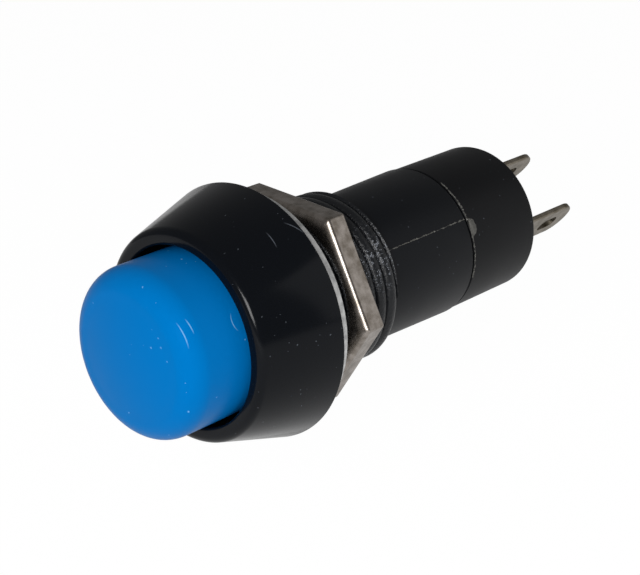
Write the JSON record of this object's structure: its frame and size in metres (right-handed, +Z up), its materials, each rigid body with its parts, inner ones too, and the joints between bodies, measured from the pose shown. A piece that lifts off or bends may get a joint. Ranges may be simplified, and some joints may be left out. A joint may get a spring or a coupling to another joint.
{
  "type": "pushbutton switch",
  "caption": "Miniature round panel-mount pushbutton switch: domed push cap in a conical bezel, threaded bushing with washer and hexagonal nut, plain barrel, flat solder lugs.",
  "frame": {"origin": "centre of the switch axis in the plane where the bezel's rim bears on the panel", "axes": "+Y along the switch axis, from the button to the solder lugs; -Y is the way the button faces; +Z up, +X to the right seen from the front"},
  "size_m": [0.0174, 0.0434, 0.0174],
  "materials": {
    "black_abs": "moulded, glossy, scuffed",
    "black_base": "moulded, satin",
    "blue_abs": "moulded, polished, fine scratches",
    "natural_pom": "moulded, natural",
    "spring_steel": "drawn wire",
    "bridge_brass": "punched strip",
    "contact_silver": "silver alloy rivet",
    "lug_nickel": "nickel-plated brass, dull",
    "washer_steel": "bright-plated",
    "nut_nickel": "nickel plate over brass, punched and tumbled"
  },
  "bodies": {
    "case": {"housing": "black_abs", "rear_base": "black_base", "return_spring": "spring_steel", "terminal_left": "lug_nickel", "terminal_right": "lug_nickel", "fixed_contact_left": "contact_silver", "fixed_contact_right": "contact_silver"},
    "button": {"button_cap": "blue_abs", "plunger": "natural_pom", "bridge_retainer": "spring_steel", "contact_spring": "spring_steel"},
    "bridge": {"contact_bridge": "bridge_brass", "bridge_contact_left": "contact_silver", "bridge_contact_right": "contact_silver"},
    "washer": {"panel_washer": "washer_steel"},
    "nut": {"hex_nut": "nut_nickel"}
  },
  "joints": [
    {"name": "button_press", "type": "slide", "parent": "case", "child": "button", "axis": [0, 1, 0], "range_m": [0, 0.0028], "stiffness_N_per_m": 500, "springref_m": -0.004, "deforming": ["return_spring"]},
    {"name": "bridge_lag", "type": "slide", "parent": "button", "child": "bridge", "axis": [0, 1, 0], "range_m": [-0.00112, 0], "deforming": ["contact_spring"]},
    {"name": "nut_turn", "type": "hinge", "parent": "case", "child": "washer", "pos_m": [0, 0, 0], "axis": [0, 1, 0], "range_deg": [-756, 1224]},
    {"name": "nut_travel", "type": "slide", "parent": "washer", "child": "nut", "axis": [0, 1, 0], "range_m": [-0.0021, 0.0034]}
  ],
  "couplings": [
    {"joint": "bridge_lag", "follows": "button_press", "ratio": -0.4},
    {"joint": "nut_travel", "follows": "nut_turn", "m_per_rad": 0.00015915}
  ]
}
